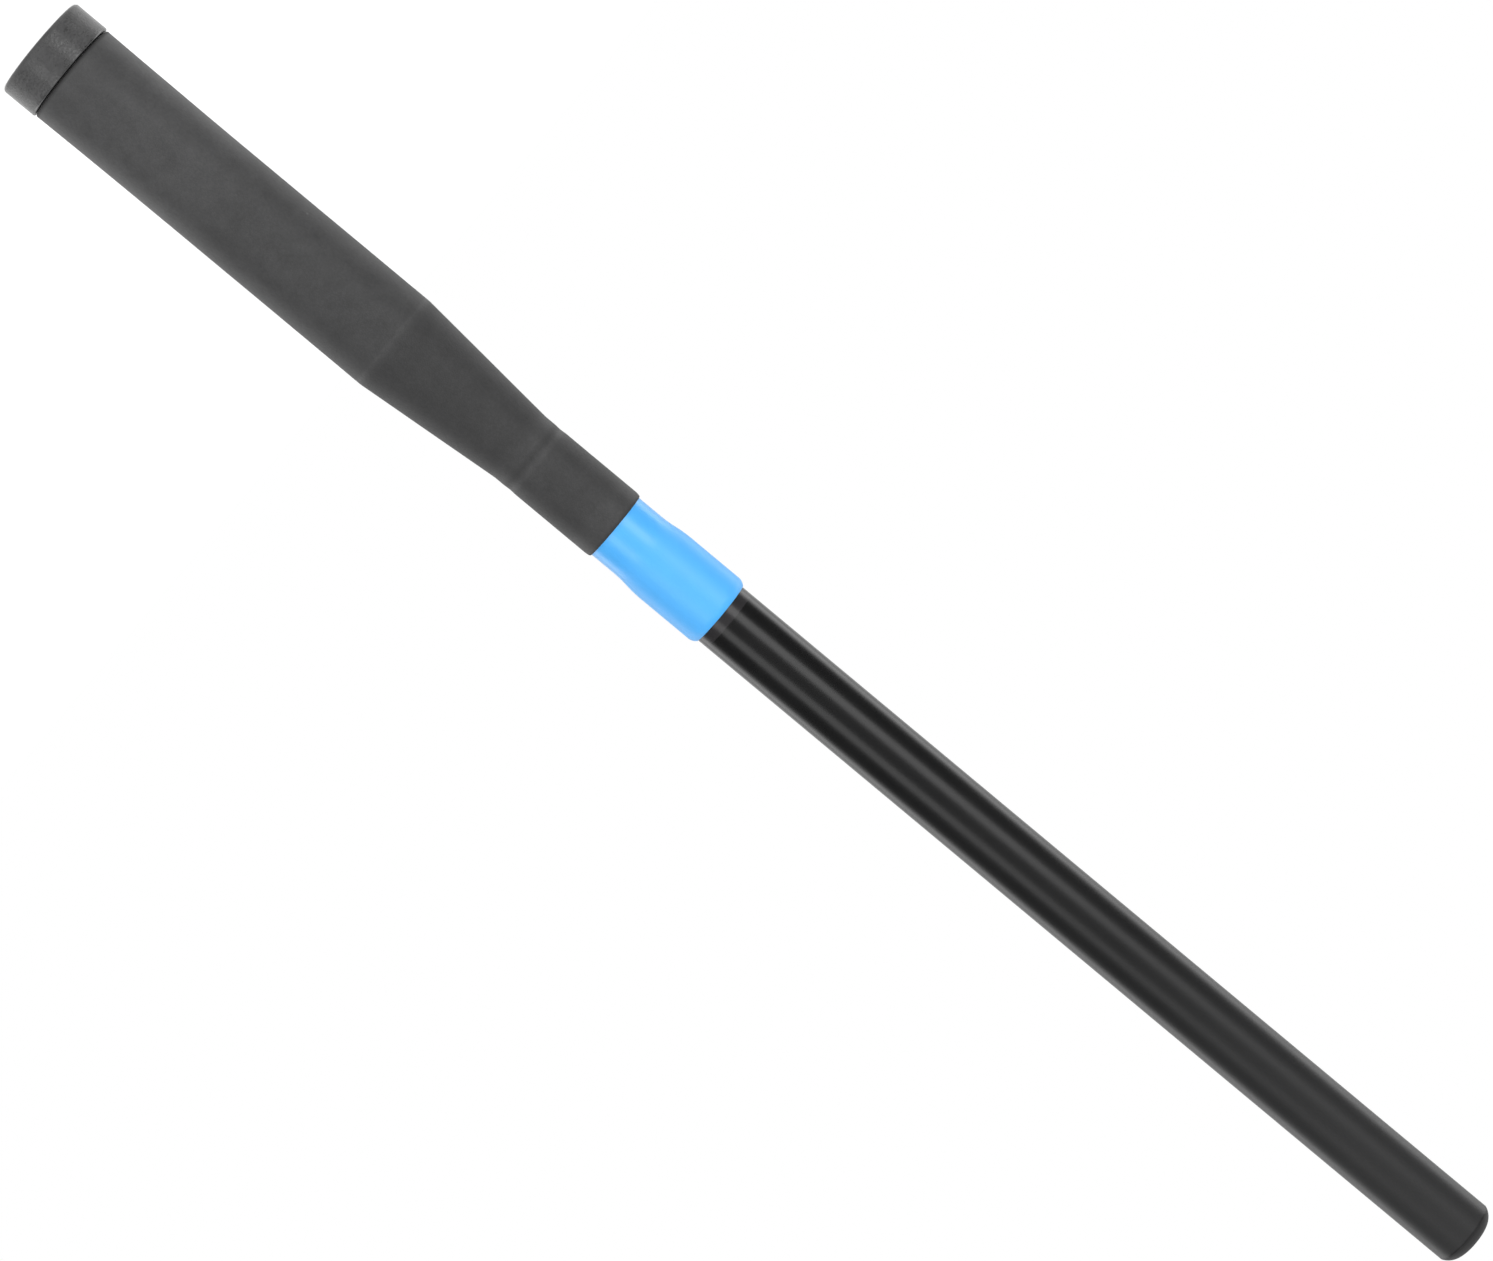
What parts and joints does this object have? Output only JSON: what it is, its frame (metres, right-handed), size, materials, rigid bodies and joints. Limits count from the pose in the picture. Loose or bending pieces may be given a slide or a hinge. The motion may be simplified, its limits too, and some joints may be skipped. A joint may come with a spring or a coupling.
{
  "type": "swing trainer stick",
  "caption": "Click-type golf swing trainer stick: foam-covered barrel with a sliding striker, a twist collar that sets the magnet's hold, and a straight handle tube.",
  "frame": {"origin": "centre of the bumper's flat face, at the head end, on the surface the stick stands on", "axes": "+Z along the stick from the head to the butt; the form is round about Z, and the cam pin lies along X at rest"},
  "size_m": [0.0416, 0.0416, 0.6821],
  "materials": {
    "bumper_foam": "matte",
    "sleeve_foam": "matte",
    "black_abs": "matte",
    "steel": "satin",
    "black_rubber": "matte",
    "bare_aluminium": "satin",
    "white_nylon": "matte",
    "black_nylon": "matte",
    "handle_coating": "satin",
    "butt_plastic": "matte",
    "collar_blue": "satin",
    "magnet_nickel": "polished",
    "brass": "satin"
  },
  "bodies": {
    "stick": {"bumper_cap": "bumper_foam", "foam_sleeve": "sleeve_foam", "head_plug": "black_abs", "head_plug_pins": "steel", "anvil_plate": "steel", "anvil_screw": "steel", "barrel_tube": "black_abs", "stop_washer": "black_rubber", "reducer_cone": "black_abs", "reducer_pins": "steel", "spine_tube": "bare_aluminium", "spine_pins": "steel", "drag_rings": "black_rubber", "thrust_washer": "white_nylon", "handle_tube": "handle_coating", "handle_pins": "steel", "butt_plug": "butt_plastic"},
    "collar": {"adjuster_collar": "collar_blue", "mouth_bush": "black_nylon"},
    "magnet_carrier": {"magnet_cup": "steel", "magnet": "magnet_nickel", "magnet_screw": "brass", "push_rod": "bare_aluminium", "cam_follower": "white_nylon", "cam_pin": "steel"},
    "striker": {"striker_weight": "steel", "striker_guide_rings": "white_nylon"}
  },
  "joints": [
    {"name": "collar_turn", "type": "hinge", "parent": "stick", "child": "collar", "pos_m": [0, 0, 0.3], "axis": [0, 0, 1], "range_deg": [0, 120]},
    {"name": "magnet_slide", "type": "slide", "parent": "stick", "child": "magnet_carrier", "axis": [0, 0, 1], "range_m": [0, 0.006]},
    {"name": "striker_slide", "type": "slide", "parent": "stick", "child": "striker", "axis": [0, 0, 1], "range_m": [0, 0.07]}
  ],
  "couplings": [
    {"joint": "collar_turn", "follows": "magnet_slide", "rad_per_m": 349.06}
  ]
}
